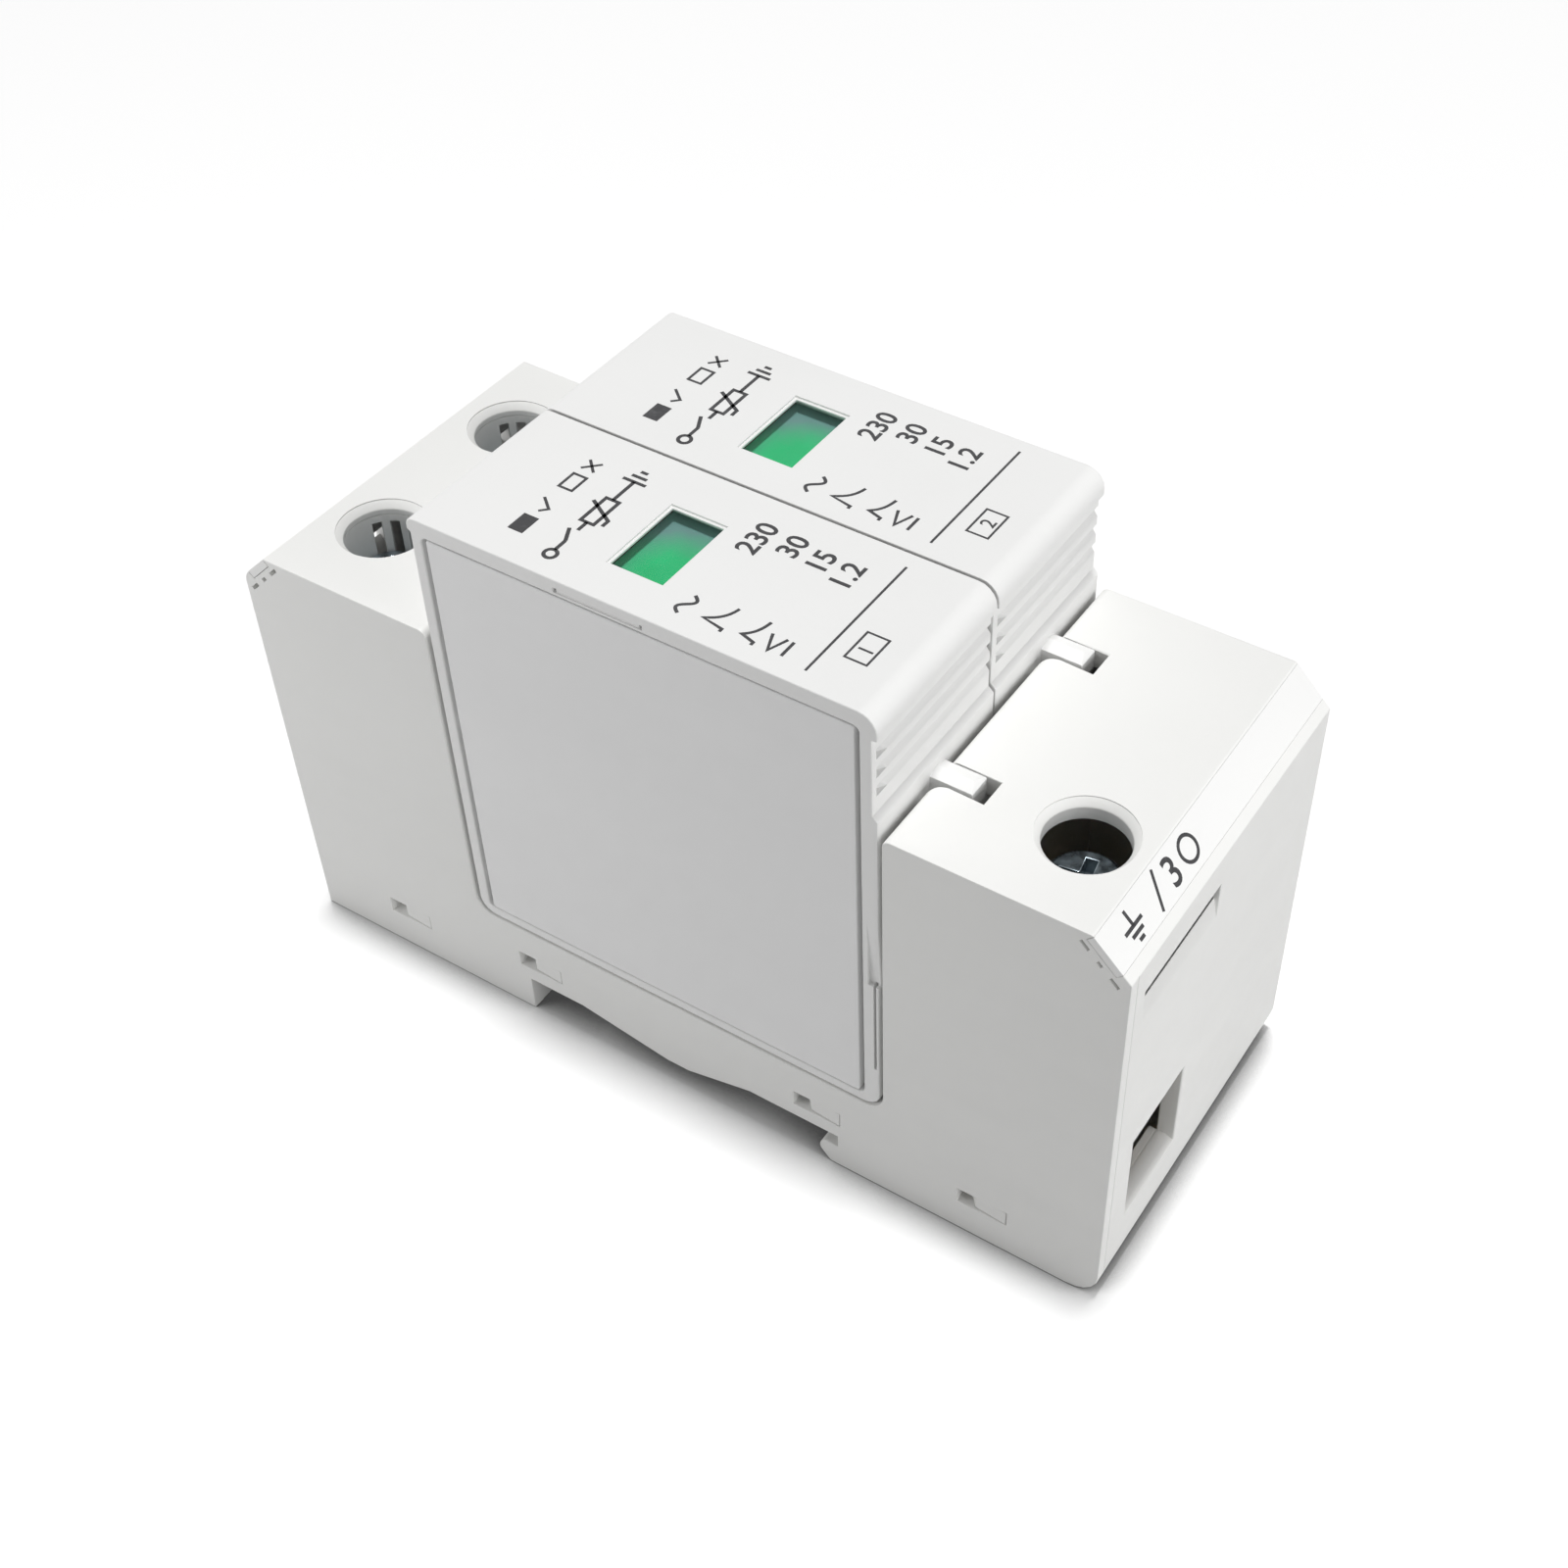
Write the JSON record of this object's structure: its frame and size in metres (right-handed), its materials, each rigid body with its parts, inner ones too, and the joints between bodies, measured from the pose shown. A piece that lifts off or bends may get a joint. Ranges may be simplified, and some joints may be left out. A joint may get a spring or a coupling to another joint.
{
  "type": "din rail surge arrester",
  "caption": "Plug-in surge arrester for a top-hat rail: a base with screw terminals at both ends and pull-out cartridges with key lugs, grip grooves and indicator windows.",
  "frame": {"origin": "middle of the underside, where the feet stand", "axes": "+X along the device towards the end with the single earth terminal, +Y across the poles away from the side cover, +Z away from the rail towards the cartridge tops"},
  "size_m": [0.089, 0.036, 0.0584],
  "materials": {
    "housing": "fine moulded satin",
    "cartridge": "fine moulded satin",
    "cartridge_lid": "fine spark-eroded texture",
    "marking_strip": "smooth",
    "terminal_steel": "zinc plated",
    "contact_brass": "stamped strip",
    "lens": "clear",
    "indicator_green": "satin",
    "indicator_red": "satin",
    "varistor_coating": "dipped epoxy"
  },
  "bodies": {
    "base": {"base_housing": "housing", "side_cover": "housing", "pole_partition": "housing", "marking_strip_line": "marking_strip", "marking_strip_earth": "marking_strip", "screw_guard_line_1": "housing", "screw_guard_line_2": "housing", "line_contact_1": "contact_brass", "line_contact_2": "contact_brass", "earth_bar": "contact_brass"},
    "din_clip": {"din_clip": "housing"},
    "screw_line_1": {"terminal_screw_line_1": "terminal_steel"},
    "cage_line_1": {"terminal_cage_line_1": "terminal_steel"},
    "screw_line_2": {"terminal_screw_line_2": "terminal_steel"},
    "cage_line_2": {"terminal_cage_line_2": "terminal_steel"},
    "screw_earth": {"terminal_screw_earth": "terminal_steel"},
    "cage_earth": {"terminal_cage_earth": "terminal_steel"},
    "cartridge_1": {"cartridge_cover_1": "cartridge", "cartridge_lid_1": "cartridge_lid", "window_lens_1": "lens", "indicator_carrier_1": "indicator_red", "varistor_1": "varistor_coating", "disconnect_leaf_1": "contact_brass", "line_blade_1": "contact_brass", "earth_blade_1": "contact_brass"},
    "flag_1": {"indicator_flag_1": "indicator_green"},
    "cartridge_2": {"cartridge_cover_2": "cartridge", "cartridge_lid_2": "cartridge_lid", "window_lens_2": "lens", "indicator_carrier_2": "indicator_red", "varistor_2": "varistor_coating", "disconnect_leaf_2": "contact_brass", "line_blade_2": "contact_brass", "earth_blade_2": "contact_brass"},
    "flag_2": {"indicator_flag_2": "indicator_green"}
  },
  "joints": [
    {"name": "din_clip_slide", "type": "slide", "parent": "base", "child": "din_clip", "axis": [-1, 0, 0], "range_m": [0, 0.003]},
    {"name": "screw_line_1_turn", "type": "hinge", "parent": "base", "child": "screw_line_1", "pos_m": [-0.0356, -0.009, 0.0374], "axis": [0, 0, -1], "range_deg": [0, 3600]},
    {"name": "cage_line_1_lift", "type": "slide", "parent": "base", "child": "cage_line_1", "axis": [0, 0, 1], "range_m": [0, 0.008]},
    {"name": "screw_line_2_turn", "type": "hinge", "parent": "base", "child": "screw_line_2", "pos_m": [-0.0356, 0.009, 0.0374], "axis": [0, 0, -1], "range_deg": [0, 3600]},
    {"name": "cage_line_2_lift", "type": "slide", "parent": "base", "child": "cage_line_2", "axis": [0, 0, 1], "range_m": [0, 0.008]},
    {"name": "screw_earth_turn", "type": "hinge", "parent": "base", "child": "screw_earth", "pos_m": [0.0356, -0.009, 0.0374], "axis": [0, 0, -1], "range_deg": [0, 3600]},
    {"name": "cage_earth_lift", "type": "slide", "parent": "base", "child": "cage_earth", "axis": [0, 0, 1], "range_m": [0, 0.008]},
    {"name": "cartridge_1_pull", "type": "slide", "parent": "base", "child": "cartridge_1", "axis": [0, 0, 1], "range_m": [0, 0.045]},
    {"name": "flag_1_slide", "type": "slide", "parent": "cartridge_1", "child": "flag_1", "axis": [1, 0, 0], "range_m": [0, 0.0068]},
    {"name": "cartridge_2_pull", "type": "slide", "parent": "base", "child": "cartridge_2", "axis": [0, 0, 1], "range_m": [0, 0.045]},
    {"name": "flag_2_slide", "type": "slide", "parent": "cartridge_2", "child": "flag_2", "axis": [1, 0, 0], "range_m": [0, 0.0068]}
  ],
  "couplings": [
    {"joint": "screw_line_1_turn", "follows": "cage_line_1_lift", "rad_per_m": 7853.9},
    {"joint": "screw_line_2_turn", "follows": "cage_line_2_lift", "rad_per_m": 7853.9},
    {"joint": "screw_earth_turn", "follows": "cage_earth_lift", "rad_per_m": 7853.9}
  ]
}
